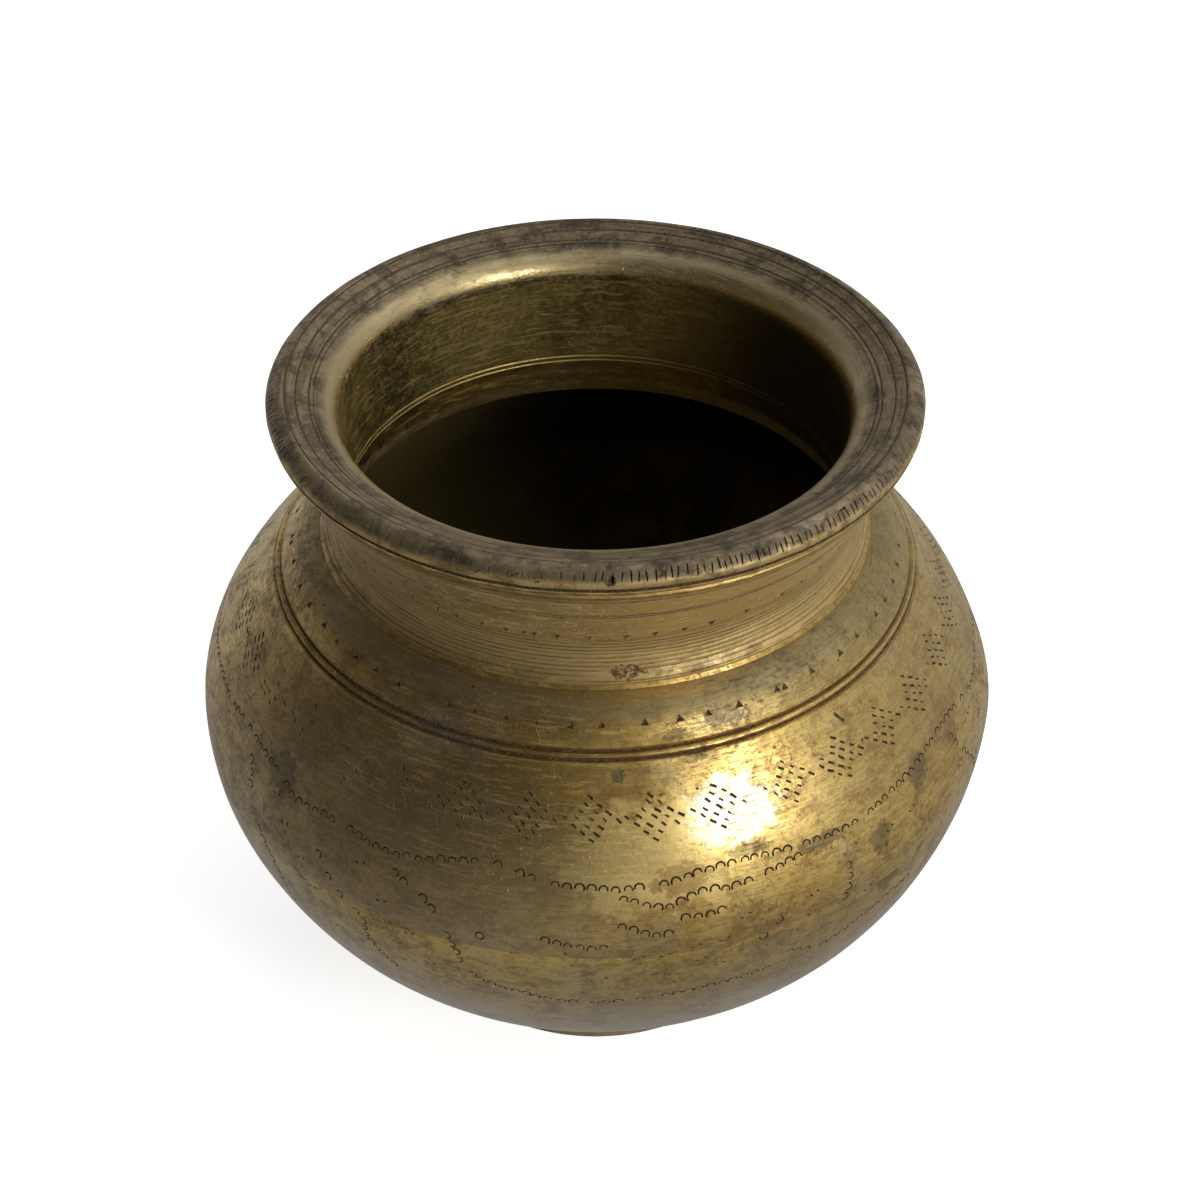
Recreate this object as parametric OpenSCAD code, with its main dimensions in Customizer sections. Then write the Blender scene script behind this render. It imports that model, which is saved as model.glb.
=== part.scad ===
// Round water pot (lota) in brass. Two raised shells meet at the widest line,
// a cast and turned neck plugs into the shoulder, and the pot stands on a low
// foot ring. Spelter, the brazing brass, fills the three seams.
// Z is up, the axis is Z and the pot stands on Z = 0.

/* [Belly] */
// Outside diameter at the widest line
belly_d = 125.2; // [105:0.2:160]
// Height of the widest line above the ground
belly_h = 55.2; // [45:0.2:70]
// Height above the widest line at which the shoulder's curve would close
dome_h = 49; // [40:0.5:62]
// Fullness of the shoulder's curve, where 2 is an ellipse
dome_full = 1.58; // [1.45:0.01:2]
// Fullness of the bowl's curve, where 2 is an ellipse
bowl_full = 1.87; // [1.7:0.01:2.2]
// Thickness of the raised sheet
wall = 1.4; // [1:0.1:2.2]
// Height over which the bevelled edges of the two shells lap
lap_h = 4; // [2:0.5:8]

/* [Shoulder] */
// Width of the collar from the neck's flange to the lower turned line
collar_w = 7.9; // [6:0.1:10]
// Rise from the lower turned line to the neck's seat
collar_h = 6.2; // [4:0.1:8]
// Swell of the collar beyond a straight slope
collar_swell = 0.85; // [0.2:0.05:1.4]
// Distance between the two turned lines
line_gap = 1.2; // [1:0.1:2]
// Width of each turned line
line_w = 0.7; // [0.3:0.1:0.9]
// Depth of each turned line
line_deep = 0.3; // [0.1:0.05:0.6]
// Height of the raised bead between the two lines
bead_up = 0.2; // [0.05:0.05:0.5]

/* [Neck] */
// Bore of the neck
bore_d = 74.8; // [60:0.2:90]
// Thickness of the neck at its waist
neck_wall = 2.2; // [1.6:0.1:3.5]
// Height of the crest of the rim above the neck's seat
neck_h = 25; // [20:0.5:35]
// Height of the waist above the neck's seat
waist_up = 5.4; // [3:0.1:7]
// How gently the neck bends from the waist into its straight flare
waist_bend = 0.3; // [0.1:0.05:1]
// Overhang of the rim beyond the waist
rim_over = 8.4; // [6:0.1:12]
// Height of the rolled band under the rim's edge
roll_h = 2.7; // [2:0.1:5]
// Distance of that band's lower end inside the rim's edge
roll_in = 1.3; // [0.8:0.1:3]
// Height of the upright edge of the rim
edge_h = 0.5; // [0.3:0.1:2]
// Height of the crest above the upright edge
crest_up = 1.8; // [1:0.1:3]
// Distance of the crest inwards from the upright edge
crest_in = 2.4; // [1.5:0.1:4]
// Radius of the round lip between the rim's top and the bore
lip_r = 4; // [2:0.1:5]
// Depth of that round's centre below the crest, where the bore begins
lip_down = 6; // [5.5:0.1:9]
// Depth of the spigot below the neck's seat
spigot_h = 3.7; // [2.5:0.1:6]
// Thickness of the spigot at its end
spigot_wall = 1.15; // [0.8:0.05:2]
// Width of the flange beyond the waist
flange_w = 1.7; // [1.2:0.1:2.5]
// Height of the flange's upright edge
flange_h = 0.8; // [0.4:0.1:1.5]
// Width of the flange that lies on the shoulder
flange_lap = 0.4; // [0.2:0.1:0.8]

/* [Foot] */
// Outside diameter of the foot ring
foot_d = 60; // [48:0.5:75]
// Width of the ring at the ground
foot_w = 2.2; // [1.5:0.1:4]
// Width of the ring at the bowl
foot_top_w = 3; // [2:0.1:5]
// Depth of the hollow turned round the outside of the ring
foot_waist = 0.6; // [0:0.1:1]
// Height of the middle of the bottom above the ground
pan_up = 3; // [2:0.1:4.5]

/* [Seams] */
// Clearance between brazed pieces, which the spelter fills
braze = 0.15; // [0.05:0.05:0.3]
// Size of the fillets of spelter beside a seam
fillet = 0.8; // [0.4:0.1:1.2]
// Size of the thin line of spelter outside the flange
fillet_out = 0.4; // [0.2:0.1:0.8]

/* [Hidden] */
$fn = 128;
// Points along each long curve, short curve and small bead
long_n = 28;
short_n = 8;

// Radii, from the bore outwards
bore_r = bore_d / 2;
waist_r = bore_r + neck_wall;
rim_r = waist_r + rim_over;
flange_r = waist_r + flange_w;
hole_r = flange_r - flange_lap;
spigot_r = hole_r - braze;
line_r = flange_r + collar_w;
belly_r = belly_d / 2;
foot_r = foot_d / 2;
foot_in = foot_r - foot_top_w;

// Inner surfaces of the two shells
in_r = belly_r - wall;
in_dome_h = dome_h - wall;
in_bowl_h = belly_h - wall;

// A round curve: half-width at a height from its widest line, the height at a
// half-width, and its slope there in degrees
function round_r(z, r, h, full) = r * pow(1 - pow(z / h, full), 1 / full);
function round_z(x, r, h, full) = h * pow(1 - pow(x / r, full), 1 / full);
function round_slope(x, r, h, full) =
    atan(h / r * pow(x / r, full - 1) * pow(1 - pow(x / r, full), 1 / full - 1));

// Points on the four round surfaces at a distance above or below the widest line
function dome_out(z) = [round_r(z, belly_r, dome_h, dome_full), belly_h + z];
function dome_in(z) = [round_r(z, in_r, in_dome_h, dome_full), belly_h + z];
function bowl_out(z) = [round_r(z, belly_r, belly_h, bowl_full), belly_h - z];
function bowl_in(z) = [round_r(z, in_r, in_bowl_h, bowl_full), belly_h - z];

// Points of f between two distances are written in place, with this spacing
function spread(a, b, i, n) = a + (b - a) * i / n;

// An arc from a to b whose middle stands s to the right of the straight line
function bow(a, b, s, n) =
    let (c = norm(b - a),
         rad = (c * c / 4 + s * s) / (2 * s),
         half = asin(c / 2 / rad),
         dir = (b - a) / c,
         right = [dir.y, -dir.x],
         centre = (a + b) / 2 + right * (s - rad))
    concat([a],
           [for (i = [1:n - 1])
                let (t = spread(-half, half, i, n))
                centre + right * rad * cos(t) + dir * rad * sin(t)],
           [b]);

// Shoulder: the two turned lines lie on the curve at line_r, t up the slope and
// n out of it
line_z = belly_h + round_z(line_r, belly_r, dome_h, dome_full);
line_a = round_slope(line_r, belly_r, dome_h, dome_full);
function at_line(t, n) = [line_r - t * cos(line_a) + n * sin(line_a),
                          line_z + t * sin(line_a) + n * cos(line_a)];
seat_z = line_z + collar_h;
line_low = at_line(-line_w / 2, 0);
line_top = at_line(line_gap + line_w / 2, 0);
collar_low_in = at_line(0, -wall);

// Belly seam: the shells' edges are bevelled over lap_h, and seam_rise is the
// spelter's thickness measured upright
seam_rise = braze * norm([lap_h, wall]) / wall;
seam_out_low = bowl_out(lap_h / 2);
seam_out_top = bowl_out(lap_h / 2 - seam_rise);
seam_in_low = dome_in(lap_h / 2);
seam_in_top = dome_in(lap_h / 2 + seam_rise);
seam_bead = [seam_in_low.x - fillet / 2, (seam_in_low.y + seam_in_top.y) / 2];

// Foot: inside foot_r the bowl's bottom flattens to pan_up on the axis, with no
// break in its slope at foot_r
foot_z = belly_h - round_z(foot_r, belly_r, belly_h, bowl_full);
foot_slope = tan(round_slope(foot_r, belly_r, belly_h, bowl_full));
pan_pow = foot_slope * foot_r / (foot_z - pan_up);
function pan_out(r) = [r, pan_up + (foot_z - pan_up) * pow(r / foot_r, pan_pow)];
pan_in_up = pan_up + wall;
pan_in_z = belly_h - round_z(foot_r, in_r, in_bowl_h, bowl_full);
function pan_in(r) = [r, pan_in_up + (pan_in_z - pan_in_up) * pow(r / foot_r, pan_pow)];
// Where the bowl meets the fillet outside the ring, and the ring's land on it
foot_meet = round_z(foot_r + fillet, belly_r, belly_h, bowl_full);
foot_land = [for (i = [0:short_n]) pan_out(spread(foot_r, foot_in, i, short_n))];
land_top = [for (p = foot_land) p - [0, braze]];

// Neck: heights, and the flare from the waist to the rim's edge
crest_z = seat_z + neck_h;
edge_z = crest_z - crest_up - edge_h;
waist_z = seat_z + waist_up;
lip_z = crest_z - lip_down;
flange_z = seat_z + braze;
flare_z = flange_z + 2 * flange_h;
bore_end_z = seat_z + 3.2;
flare_top_z = edge_z - roll_h;
function bend_share(u) = (norm([u, waist_bend]) - waist_bend) / (norm([1, waist_bend]) - waist_bend);
function flare(z) =
    [waist_r + (rim_over - roll_in) * bend_share((z - waist_z) / (flare_top_z - waist_z)), z];
function flare_run(a, b) = [for (i = [0:short_n]) flare(spread(a, b, i, short_n))];
// A fine turned line on the flare, below the rim's edge
low_line_z = edge_z - 9.6;
// The rolled band starts over a fine line and ends under a deeper one
band_low = flare(flare_top_z) + [line_deep, line_w];
band_top = [rim_r - line_deep, edge_z - 1.4 * line_w];
// The rim's top slopes straight from the crest to where it touches the lip's round
crest = [rim_r - crest_in, crest_z];
lip_centre = [bore_r + lip_r, lip_z];
to_crest = crest - lip_centre;
lip_join_a = atan2(to_crest.y, to_crest.x) + acos(lip_r / norm(to_crest));
lip_join = lip_centre + lip_r * [cos(lip_join_a), sin(lip_join_a)];
dish_len = norm(crest - lip_join);
dish_dir = (lip_join - crest) / dish_len;
// t is the distance from the crest and n the depth below the surface
function on_dish(t, n) = crest + dish_dir * t + [-dish_dir.y, dish_dir.x] * n;
function dish_line(t) = [on_dish(t - line_w / 2, 0), on_dish(t, line_deep / 2),
                         on_dish(t + line_w / 2, 0)];

module revolve(points) {
    rotate_extrude() polygon(points);
}

// Cast and turned neck with its rim, spigot and flange
module neck_rim() {
    color([0.60, 0.54, 0.36])
    revolve(concat(
        [[spigot_r, seat_z - spigot_h],
         [spigot_r, flange_z],
         [flange_r, flange_z],
         [flange_r, flange_z + flange_h]],
        flare_run(flare_z, low_line_z - line_w / 2),
        [flare(low_line_z) - [line_deep / 2, 0]],
        flare_run(low_line_z + line_w / 2, flare_top_z),
        [flare(flare_top_z) + [-line_deep / 2, line_w / 2]],
        bow(band_low, band_top, line_deep / 2, short_n),
        [[rim_r - 3 * line_deep, edge_z - line_w],
         [rim_r - line_deep / 2, edge_z - line_w / 2],
         [rim_r, edge_z]],
        bow([rim_r, edge_z + edge_h], crest, crest_up / 5, short_n),
        dish_line(dish_len * 0.38),
        dish_line(dish_len * 0.8),
        [for (i = [0:short_n])
            let (a = spread(lip_join_a, 180, i, short_n))
            lip_centre + lip_r * [cos(a), sin(a)]],
        [[bore_r, bore_end_z],
         [bore_r + neck_wall * 0.4, bore_end_z - 0.4],
         [bore_r + neck_wall * 0.57, seat_z + flange_h],
         [bore_r + neck_wall * 0.5, seat_z + flange_lap],
         [spigot_r - spigot_wall, seat_z - spigot_h]]
    ));
}

// Raised upper shell, with the hole for the neck's spigot
module shoulder_shell() {
    color([0.63, 0.54, 0.29])
    revolve(concat(
        [seam_out_top],
        [for (i = [0:long_n - 1])
            dome_out(spread(0, line_low.y - belly_h, i, long_n))],
        [line_low,
         at_line(0, -line_deep),
         at_line(line_w / 2, 0),
         at_line(line_gap / 2, bead_up),
         at_line(line_gap - line_w / 2, 0),
         at_line(line_gap, -line_deep)],
        bow(line_top, [flange_r + fillet_out, seat_z], collar_swell, short_n),
        [[hole_r, seat_z],
         [hole_r, seat_z - wall]],
        bow([hole_r + fillet, seat_z - wall], collar_low_in, -collar_swell, short_n),
        [for (i = [1:long_n])
            dome_in(spread(collar_low_in.y - belly_h, lap_h / 2 + seam_rise, i, long_n))]
    ));
}

// Raised lower shell, closed at the bottom
module bowl_shell() {
    color([0.58, 0.50, 0.28])
    revolve(concat(
        [for (i = [0:long_n]) bowl_out(spread(lap_h / 2, foot_meet, i, long_n))],
        foot_land,
        [for (i = [0:short_n]) pan_out(spread(foot_in - fillet, 0, i, short_n))],
        [for (i = [0:short_n]) pan_in(spread(0, foot_r, i, short_n))],
        [for (i = [1:long_n])
            bowl_in(spread(belly_h - pan_in_z, 0, i, long_n))],
        [seam_in_low]
    ));
}

// Low ring under the bowl
module foot_ring() {
    color([0.66, 0.60, 0.42])
    revolve(concat(
        bow([foot_r, 0], [foot_r, foot_z - braze - fillet], -foot_waist, short_n),
        land_top,
        [[foot_in, pan_out(foot_in).y - braze - fillet],
         [foot_r - foot_w, 0]]
    ));
}

// Spelter round the spigot and under the flange
module neck_spelter() {
    color([0.55, 0.36, 0.22])
    revolve([[flange_r, flange_z + fillet_out],
             [flange_r, flange_z],
             [spigot_r, flange_z],
             [spigot_r, seat_z - wall - fillet],
             [hole_r + fillet, seat_z - wall],
             [hole_r, seat_z - wall],
             [hole_r, seat_z],
             [flange_r + fillet_out, seat_z]]);
}

// Spelter between the bevelled edges, with a low bead left inside
module belly_spelter() {
    color([0.55, 0.40, 0.24])
    revolve([seam_out_low, seam_out_top, seam_in_top, seam_bead, seam_in_low]);
}

// Spelter between the foot ring and the bowl, with a fillet on each side
module foot_spelter() {
    color([0.55, 0.42, 0.25])
    revolve(concat(
        [bowl_out(foot_meet)],
        foot_land,
        [pan_out(foot_in - fillet),
         [foot_in, pan_out(foot_in).y - braze - fillet]],
        [for (i = [0:short_n]) land_top[short_n - i]],
        [[foot_r, foot_z - braze - fillet]]
    ));
}

neck_rim();
shoulder_shell();
bowl_shell();
foot_ring();
neck_spelter();
belly_spelter();
foot_spelter();
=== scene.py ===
"""A round brass water pot (lota): turned neck, two raised shells, foot ring and brazed seams.

Sizes are worked in millimetres on the pot's own axis and written to the meshes in metres.
Angles go round the pot in degrees from its front, which faces -Y, towards +X.
"""

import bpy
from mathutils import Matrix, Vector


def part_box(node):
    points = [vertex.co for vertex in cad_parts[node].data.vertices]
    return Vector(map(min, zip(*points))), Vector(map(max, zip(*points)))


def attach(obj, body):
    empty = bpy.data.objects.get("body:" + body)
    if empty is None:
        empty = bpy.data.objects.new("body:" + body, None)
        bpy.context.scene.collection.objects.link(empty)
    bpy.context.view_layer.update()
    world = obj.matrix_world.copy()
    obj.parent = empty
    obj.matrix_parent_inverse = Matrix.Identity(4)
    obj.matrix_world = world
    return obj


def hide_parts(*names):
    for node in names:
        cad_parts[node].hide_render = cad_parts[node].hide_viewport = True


bl_info = {
    "name": "Brass Water Pot",
    "version": (1, 0, 0),
    "blender": (4, 5, 0),
    "location": "View3D > Sidebar > Pot",
    "description": "Builds a raised and turned brass water pot with punched decoration",
    "category": "Add Mesh",
}

import math
import random

import bmesh
import bpy
from bpy.props import FloatProperty, FloatVectorProperty, IntProperty, PointerProperty
from mathutils import Matrix, Vector, noise
from mathutils.bvhtree import BVHTree
from mathutils.interpolate import poly_3d_calc

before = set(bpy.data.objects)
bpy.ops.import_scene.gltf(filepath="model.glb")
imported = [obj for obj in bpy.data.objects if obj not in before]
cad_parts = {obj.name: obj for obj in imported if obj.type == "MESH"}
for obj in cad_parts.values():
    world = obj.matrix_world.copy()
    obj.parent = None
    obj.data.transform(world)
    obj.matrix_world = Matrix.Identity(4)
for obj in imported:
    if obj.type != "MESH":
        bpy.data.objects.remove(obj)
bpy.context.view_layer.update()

MM = 0.001


def corners(node):
    """The lowest and the highest corner of a CAD node's box, in millimetres."""
    return [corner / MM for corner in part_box(node)]


# The collar's seat, the crest of the rim, the radii and the bottom that the frame fixes
SEAT_Z = corners("shoulder_shell")[1].z
CREST_Z = corners("neck_rim")[1].z
RIM_R = corners("neck_rim")[1].x
BELLY_R = corners("bowl_shell")[1].x
FOOT_R = corners("foot_ring")[1].x
PAN_UP = corners("bowl_shell")[0].z

# The finishes of a piece: its metal, its inside, the bottoms of struck marks and of turned lines
SHEET, INSIDE, GRIME, LINE = range(4)
# Share of a punch's depth that stands proud, so that every punch breaks the surface
PROUD = 0.6
# Distance under which points of a mesh are one
MERGE = 1e-5
# Corners sharper than this are shaded as edges
SHARP = math.radians(38)


# ---------------------------------------------------------------- what a user may change

class PotSizes(bpy.types.PropertyGroup):
    """Sizes of the pot in millimetres."""
    belly_z: FloatProperty(name="Belly height", description="Height of the widest line", default=55.2)
    dome_h: FloatProperty(name="Dome", description="Height at which the shoulder would close", default=49)
    dome_full: FloatProperty(name="Dome fullness", description="2 is an ellipse", default=1.58)
    bowl_full: FloatProperty(name="Bowl fullness", description="2 is an ellipse", default=1.87)
    wall: FloatProperty(name="Wall", description="Thickness of the raised sheet", default=1.4)
    lap_h: FloatProperty(name="Lap", description="Height of the bevelled belly seam", default=4)
    line_r: FloatProperty(name="Line", description="Radius of the lower turned line", default=49.2)
    line_gap: FloatProperty(name="Line gap", description="Between the two turned lines", default=1.2)
    bore_r: FloatProperty(name="Bore", description="Inner radius of the neck", default=37.4)
    waist_r: FloatProperty(name="Waist", description="Outer radius of the neck's waist", default=39.6)
    waist_up: FloatProperty(name="Waist rise", description="Waist above the seat", default=5.4)
    flange_r: FloatProperty(name="Flange", description="Radius of the neck's flange", default=41.3)
    spigot_r: FloatProperty(name="Spigot", description="Radius of the neck's spigot", default=40.75)
    crest_in: FloatProperty(name="Crest", description="Crest inside the rim's edge", default=2.4)
    crest_up: FloatProperty(name="Crest rise", description="Crest above the rim's edge", default=1.8)
    edge_h: FloatProperty(name="Edge", description="Upright edge of the rim", default=0.5)
    roll_h: FloatProperty(name="Band", description="Height of the rolled band under the rim", default=2.7)
    roll_in: FloatProperty(name="Band inset", description="Its lower end inside the edge", default=1.3)
    lip_r: FloatProperty(name="Lip", description="Radius of the round lip", default=4)
    lip_down: FloatProperty(name="Lip drop", description="Centre of the lip below the crest", default=6)
    foot_w: FloatProperty(name="Foot", description="Width of the ring on the ground", default=2.2)
    foot_top_w: FloatProperty(name="Foot top", description="Width of the ring at the bowl", default=3)
    braze: FloatProperty(name="Seam", description="Gap that the spelter fills", default=0.15)
    around: IntProperty(name="Around", description="Steps round the pot", default=288, min=48)


class PotMarks(bpy.types.PropertyGroup):
    """Punched and cut decoration, in millimetres."""
    dash: FloatProperty(name="Dash", description="Length of a chisel dash", default=0.88)
    shoe: FloatProperty(name="Horseshoe", description="Radius of a horseshoe punch", default=0.62)
    shoe_step: FloatProperty(name="Step", description="Distance between horseshoes", default=1.68)
    point: FloatProperty(name="Point", description="Radius of a three-sided punch", default=0.72)
    depth: FloatProperty(name="Depth", description="Depth of the punches", default=0.26)
    nick: FloatProperty(name="Nick", description="Length of a nick on the rim", default=2.1)
    seed: IntProperty(name="Seed", description="Seed of the hand's unevenness", default=7)


class PotFinish(bpy.types.PropertyGroup):
    """Colours of the metal."""
    bright: FloatVectorProperty(name="Bright brass", description="Rubbed brass", subtype="COLOR",
                                default=(0.64, 0.46, 0.155))
    dull: FloatVectorProperty(name="Dull brass", description="Handled brass", subtype="COLOR",
                              default=(0.50, 0.325, 0.085))
    brown: FloatVectorProperty(name="Brown", description="Brown tarnish", subtype="COLOR",
                               default=(0.19, 0.105, 0.032))
    dark: FloatVectorProperty(name="Dark", description="Old dirt in the marks", subtype="COLOR",
                              default=(0.028, 0.021, 0.013))
    grey: FloatVectorProperty(name="Grey", description="Grey worn metal", subtype="COLOR",
                              default=(0.36, 0.32, 0.24))


class PotStage(bpy.types.PropertyGroup):
    """Floor, lights and camera."""
    floor: FloatVectorProperty(name="Floor", description="Colour of the floor", subtype="COLOR",
                               default=(0.93, 0.93, 0.93))
    glow: FloatProperty(name="Floor glow", description="Light of the floor's own", default=0.75)
    key: FloatProperty(name="Key light", description="Power of the window light", default=1.9)
    top: FloatProperty(name="Top light", description="Power of the light overhead", default=4.0)
    side: FloatProperty(name="Side light", description="Power of the soft light at the right", default=1.7)
    lens: FloatProperty(name="Lens", description="Focal length in millimetres", default=69)
    distance: FloatProperty(name="Distance", description="Camera to the pot", default=0.3536, unit="LENGTH")
    lift: FloatProperty(name="Lift", description="Camera above the horizon", subtype="ANGLE",
                        default=math.radians(37.07))


# ---------------------------------------------------------------- outlines

def spread(a, b, i, n):
    return a + (b - a) * i / n


def run(f, a, b, n):
    """Points of f from a to b, in n steps."""
    return [f(spread(a, b, i, n)) for i in range(n + 1)]


def rz(r, z):
    return Vector((r, z))


def bow(a, b, swell, n):
    """Points on an arc from a to b whose middle stands swell to the right."""
    chord = (b - a).length
    radius = (chord * chord / 4 + swell * swell) / (2 * swell)
    half = math.asin(chord / 2 / radius)
    along = (b - a) / chord
    right = rz(along.y, -along.x)
    centre = (a + b) / 2 + right * (swell - radius)
    return run(lambda t: centre + right * radius * math.cos(t) + along * radius * math.sin(t), -half, half, n)


def round_r(z, r, h, full):
    return r * (1 - (z / h) ** full) ** (1 / full)


def round_z(x, r, h, full):
    return h * (1 - (x / r) ** full) ** (1 / full)


def round_slope(x, r, h, full):
    return math.atan(h / r * (x / r) ** (full - 1) * (1 - (x / r) ** full) ** (1 / full - 1))


def near_cut(cuts, r, z, reach):
    """Whether a place lies in the bottom of a turned line."""
    return any(abs(cut.x - r) < reach and abs(cut.y - z) < reach for cut in cuts)


def height_at(points, r):
    """Height of a line of points that runs inwards, at a radius."""
    for a, b in zip(points, points[1:]):
        if b.x <= r <= a.x:
            return a.y + (b.y - a.y) * (a.x - r) / (a.x - b.x)
    slope = (points[1].y - points[0].y) / (points[0].x - points[1].x)
    return points[0].y - (r - points[0].x) * slope if r > points[0].x else points[-1].y


# Lines turned into the rim's top, as shares of the way from its crest to the lip
RIM_LINES = (0.08, 0.36, 0.69)


class Outline:
    """The sections of the pot's pieces, as closed loops of (radius, height)."""

    def __init__(self, s):
        self.s = s
        self.in_r = BELLY_R - s.wall
        self.line_z = s.belly_z + round_z(s.line_r, BELLY_R, s.dome_h, s.dome_full)
        self.line_a = round_slope(s.line_r, BELLY_R, s.dome_h, s.dome_full)
        self.hole_r = s.spigot_r + s.braze
        self.seam_rise = s.braze * math.hypot(s.lap_h, s.wall) / s.wall
        self.foot_z = s.belly_z - round_z(FOOT_R, BELLY_R, s.belly_z, s.bowl_full)
        slope = math.tan(round_slope(FOOT_R, BELLY_R, s.belly_z, s.bowl_full))
        self.pan_pow = slope * FOOT_R / (self.foot_z - PAN_UP)
        self.foot_in = FOOT_R - s.foot_top_w
        self.edge_z = CREST_Z - s.crest_up - s.edge_h
        self.waist_z = SEAT_Z + s.waist_up
        self.flare_top = self.edge_z - s.roll_h
        self.lip = rz(s.bore_r + s.lip_r, CREST_Z - s.lip_down)
        self.crest = rz(RIM_R - s.crest_in, CREST_Z)
        to_crest = self.crest - self.lip
        self.lip_a = math.atan2(to_crest.y, to_crest.x) + math.acos(s.lip_r / to_crest.length)
        self.lip_join = self.lip_at(self.lip_a)

    def dome_out(self, z):
        return rz(round_r(z - self.s.belly_z, BELLY_R, self.s.dome_h, self.s.dome_full), z)

    def dome_in(self, z):
        s = self.s
        return rz(round_r(z - s.belly_z, self.in_r, s.dome_h - s.wall, s.dome_full), z)

    def bowl_out(self, z):
        return rz(round_r(self.s.belly_z - z, BELLY_R, self.s.belly_z, self.s.bowl_full), z)

    def bowl_in(self, z):
        s = self.s
        return rz(round_r(s.belly_z - z, self.in_r, s.belly_z - s.wall, s.bowl_full), z)

    def pan(self, r, up=0):
        """The bottom's curve inside the foot, up above its outside."""
        rise = self.foot_z - PAN_UP
        return rz(r, PAN_UP + up + rise * (r / FOOT_R) ** self.pan_pow)

    def at_line(self, along, out):
        """A point beside the lower turned line, along the slope and out of it."""
        c, n = math.cos(self.line_a), math.sin(self.line_a)
        return rz(self.s.line_r - along * c + out * n, self.line_z + along * n + out * c)

    def flare(self, z):
        """The neck's outside: a soft bend at the waist, then nearly straight to the rim."""
        bend = 0.3
        u = (z - self.waist_z) / (self.flare_top - self.waist_z)
        share = (math.hypot(u, bend) - bend) / (math.hypot(1, bend) - bend)
        return rz(self.s.waist_r + (RIM_R - self.s.roll_in - self.s.waist_r) * share, z)

    def lip_at(self, a):
        return self.lip + rz(math.cos(a), math.sin(a)) * self.s.lip_r

    def lined(self, f, a, b, n, lines, width=0.35, deep=0.06):
        """Points of f from a to b with fine V lines cut at the given places."""
        places = sorted([spread(a, b, i, n) for i in range(n + 1)
                         if all(abs(spread(a, b, i, n) - x) > width for x in lines)]
                        + [x + d * width / 2 for x in lines for d in (-1, 0, 1)], reverse=b < a)
        step = 0.01
        out = []
        for place in places:
            point = f(place)
            if any(abs(place - x) < width / 4 for x in lines):
                slope = (f(place + step) - f(place - step)).normalized() * (1 if b > a else -1)
                point = point - rz(slope.y, -slope.x) * deep
            out.append(point)
        return out

    def collar(self):
        """From the upper turned line to the seat."""
        start = self.at_line(self.s.line_gap + 0.55, 0)
        return bow(start, rz(self.s.flange_r + 0.4, SEAT_Z), 0.85, 22)

    def shoulder_outside(self):
        s = self.s
        top = self.at_line(-0.55, 0).y
        gap = s.line_gap
        cut = ((-0.38, 0.09), (-0.18, -0.2), (0, -0.3), (0.18, -0.2), (0.36, 0.12))
        lines = ([self.at_line(-0.55, 0)] + [self.at_line(*p) for p in cut] + [self.at_line(gap / 2, 0.16)]
                 + [self.at_line(gap - x, out) for x, out in cut[::-1]])
        low = s.belly_z + s.lap_h / 2
        return run(self.dome_out, low, top, 44)[:-1] + lines + self.collar()

    def shoulder(self):
        s = self.s
        low = s.belly_z
        inner_line = self.at_line(0, -s.wall)
        return (run(self.bowl_out, low - s.lap_h / 2 + self.seam_rise, low, 3)[:-1]
                + run(self.dome_out, low, low + s.lap_h / 2, 4)[:-1]
                + self.shoulder_outside()
                + [rz(self.hole_r, SEAT_Z), rz(self.hole_r, SEAT_Z - s.wall)]
                + bow(rz(self.hole_r + 0.8, SEAT_Z - s.wall), inner_line, -0.85, 10)[:-1]
                + run(self.dome_in, inner_line.y, low + s.lap_h / 2 + self.seam_rise, 30))

    def bowl_outside(self):
        s = self.s
        meet = s.belly_z - round_z(FOOT_R + 0.8, BELLY_R, s.belly_z, s.bowl_full)
        return run(self.bowl_out, s.belly_z - s.lap_h / 2, meet, 60)

    def body_outside(self):
        """From the foot to the seat, across the seam."""
        middle, lap = self.s.belly_z, self.s.lap_h / 2
        return (self.bowl_outside() + run(self.bowl_out, middle - lap, middle, 8)
                + run(self.dome_out, middle, middle + lap, 8) + self.shoulder_outside())

    def bowl(self):
        s = self.s
        in_z = s.belly_z - round_z(FOOT_R, self.in_r, s.belly_z - s.wall, s.bowl_full)
        rise = in_z - self.foot_z
        inner = [rz(r, self.pan(r).y + s.wall + (rise - s.wall) * (r / FOOT_R) ** self.pan_pow)
                 for r in (spread(0, FOOT_R, i, 16) for i in range(16))]
        return (self.bowl_outside()
                + run(self.pan, FOOT_R, 0, 40)
                + inner
                + run(self.bowl_in, in_z, s.belly_z, 40)
                + [self.dome_in(s.belly_z + s.lap_h / 2)])

    def fine_lines(self):
        """Heights of the fine lines turned round the neck: three above the points, nine below."""
        return [self.edge_z - down for down in (4.2, 8.6, 9.2, *(15.7 + 0.6 * i for i in range(9)))]

    def dish(self, t):
        """The rim's top, from the crest at 0 to the lip at 1."""
        return self.crest.lerp(self.lip_join, t)

    def neck_cuts(self):
        """Bottoms of the neck's turned lines, where dirt stays."""
        across = self.lip_join - self.crest
        down = rz(-across.y, across.x).normalized()
        return ([self.flare(z) for z in self.fine_lines()[:3]]
                + [self.flare(self.flare_top) + rz(-0.05, 0.35), self.flare(self.flare_top) + rz(0.1, 0.55)]
                + [rz(RIM_R - 0.6, self.edge_z - 0.75), rz(RIM_R - 0.75, self.edge_z - 0.8)]
                + [self.dish(t) + down * 0.06 for t in RIM_LINES])

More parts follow.
